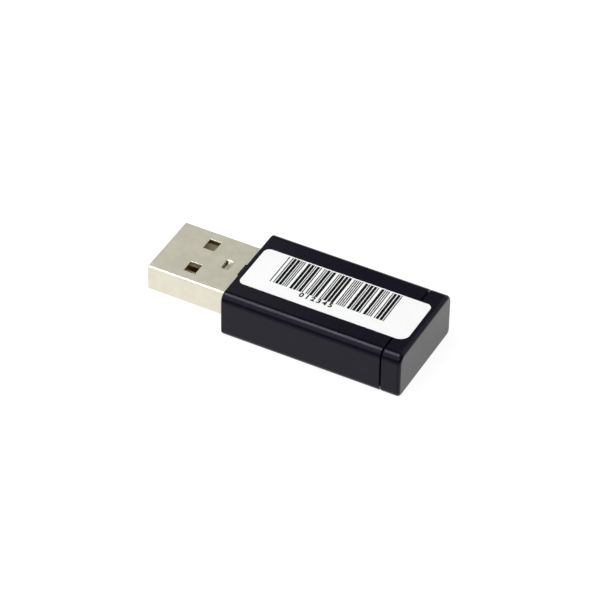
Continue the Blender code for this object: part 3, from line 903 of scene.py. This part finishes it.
CLAY = ((136, 98, 66), (164, 124, 88))
RESISTIVE_FILM = ((22, 22, 24), (34, 34, 38))
FUSE_GREEN = ((30, 98, 60), (44, 122, 78))


def repaint(material, *names):
    for name in names:
        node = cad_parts[name]
        node.data.materials.clear()
        node.data.materials.append(material)


def finish_inside():
    repaint(solder_mask(), "circuit_board")
    repaint(tinned_steel(), "shield_frame", "shield_cover", "crystal")
    repaint(copper_track(), "antenna_trace")
    repaint(chip_epoxy(), "wifi_chip", "firmware_flash", "esd_array", "voltage_regulator")
    repaint(ferrite(), "power_inductor", "data_choke")
    clay_along = two_ended("ceramic_along", "X", *CLAY)
    clay_across = two_ended("ceramic_across", "Y", *CLAY)
    repaint(clay_along, "bulk_capacitor_2", *(f"capacitor_{k}" for k in (1, 2, 3, 4, 5, 7, 8)))
    repaint(clay_across, "bulk_capacitor_1", "capacitor_6")
    film_along = two_ended("film_along", "X", *RESISTIVE_FILM)
    repaint(film_along, "resistor_1", "resistor_2", "resistor_3")
    repaint(two_ended("film_across", "Y", *RESISTIVE_FILM), "resistor_4")
    repaint(two_ended("fuse_body", "X", *FUSE_GREEN), "resettable_fuse")


# ---------------------------------------------------------------- stage


WHITE = (1, 1, 1, 1)
FLOOR_REACH = 2.0
FLOOR_DROP = 0.02 * MM
FLOOR_GLOW = 0.86  # keeps the floor white round a dark object
FLOOR_TONES = ((0.2, 0.2, 0.2, 1), (0.22, 0.22, 0.22, 1))
SURROUND = 0.12

# Each light's place and size in metres, its radiance, and the way it faces if not to the object
SOFTBOXES = {
    "strip": ((-0.205, -0.09, 0.6), (0.11, 0.27), 23.0, -UP),
    "overhead": ((0.25, 0.05, 0.55), (0.3, 0.3), 1.2, None),
    "plug_panel": ((-0.15, 0.145, 0.145), (0.13, 0.14), 0.58, None),
    "front_fill": ((-0.24, -0.42, 0.44), (0.5, 0.52), 3.0, None),
    "camera_fill": ((0.22, -0.45, 0.45), (0.3, 0.3), 5.0, None),
    "back_right": ((0.256, 0.478, 0.38), (0.9, 0.6), 0.9, None),
}


def make_floor():
    bm = bmesh.new()
    bmesh.ops.create_grid(bm, x_segments=1, y_segments=1, size=FLOOR_REACH)
    glow = {"Emission_Color": WHITE, "Emission_Strength": FLOOR_GLOW}
    made = Finish("paper_floor", Specular_IOR_Level=0.1, **glow)
    tone = made.noise(40 * MM, detail=2.0)
    made.colour(made.mix(made.span(tone, 0, 1), *FLOOR_TONES))
    made.roughness(made.span(tone, 0.8, 0.9))
    floor = add_object("floor", mesh_from("floor", bm), made.material)
    floor.location.z = -FLOOR_DROP


def add_softbox(name, place, size, radiance, facing):
    """A rectangular light of the given radiance, turned to the object or along the facing direction."""
    light = bpy.data.lights.new(name, "AREA")
    light.shape = "RECTANGLE"
    light.size, light.size_y = size
    light.energy = math.pi * size[0] * size[1] * radiance
    box = bpy.data.objects.new(name, light)
    bpy.context.scene.collection.objects.link(box)
    box.location = place
    aim = facing or -Vector(place)
    box.rotation_euler = (-aim).to_track_quat("Z", "Y").to_euler()


def make_lights():
    """A bright overhead strip for the long edges, broad fill in front and behind, and a dim surround."""
    world = bpy.data.worlds.new("studio")
    bpy.context.scene.world = world
    world.use_nodes = True
    background = world.node_tree.nodes["Background"]
    background.inputs["Color"].default_value = WHITE
    background.inputs["Strength"].default_value = SURROUND
    for name, settings in SOFTBOXES.items():
        add_softbox(name, *settings)


def make_camera():
    azimuth = math.radians(CAMERA_AZIMUTH)
    elevation = math.radians(CAMERA_ELEVATION)
    level = math.cos(elevation)
    back = Vector((math.sin(azimuth) * level, -math.cos(azimuth) * level, math.sin(elevation)))
    camera = bpy.data.objects.new("camera", bpy.data.cameras.new("camera"))
    bpy.context.scene.collection.objects.link(camera)
    bpy.context.scene.camera = camera
    camera.data.sensor_width = CAMERA_SENSOR_MM
    camera.data.lens = CAMERA_LENS_MM
    camera.location = CAMERA_TARGET + back * CAMERA_DISTANCE
    roll = Matrix.Rotation(math.radians(CAMERA_ROLL), 4, "Z")
    camera.rotation_euler = ((-back).to_track_quat("-Z", "Y").to_matrix().to_4x4() @ roll).to_euler()


def main():
    bpy.context.scene.view_settings.view_transform = "Standard"
    make_camera()
    make_floor()
    make_lights()
    black = black_plastic()
    make_housing(black)
    make_cap(black)
    plated = nickel_plate("nickel_plate", srgb(218, 214, 197), srgb(223, 220, 203))
    # A darker, browner copy of the plating for the shell's inner faces: painted shade for the inside
    # seen through the windows
    painted_shade_nickel = nickel_plate("nickel_inside_painted_shade", srgb(122, 107, 73), srgb(134, 119, 84))
    make_shell(plated, painted_shade_nickel)
    make_insulator(ivory_nylon())
    make_contacts(gold_plate())
    ink = printed_ink()
    make_label(label_film())
    make_barcode(ink)
    make_digits(ink)
    finish_inside()


main()
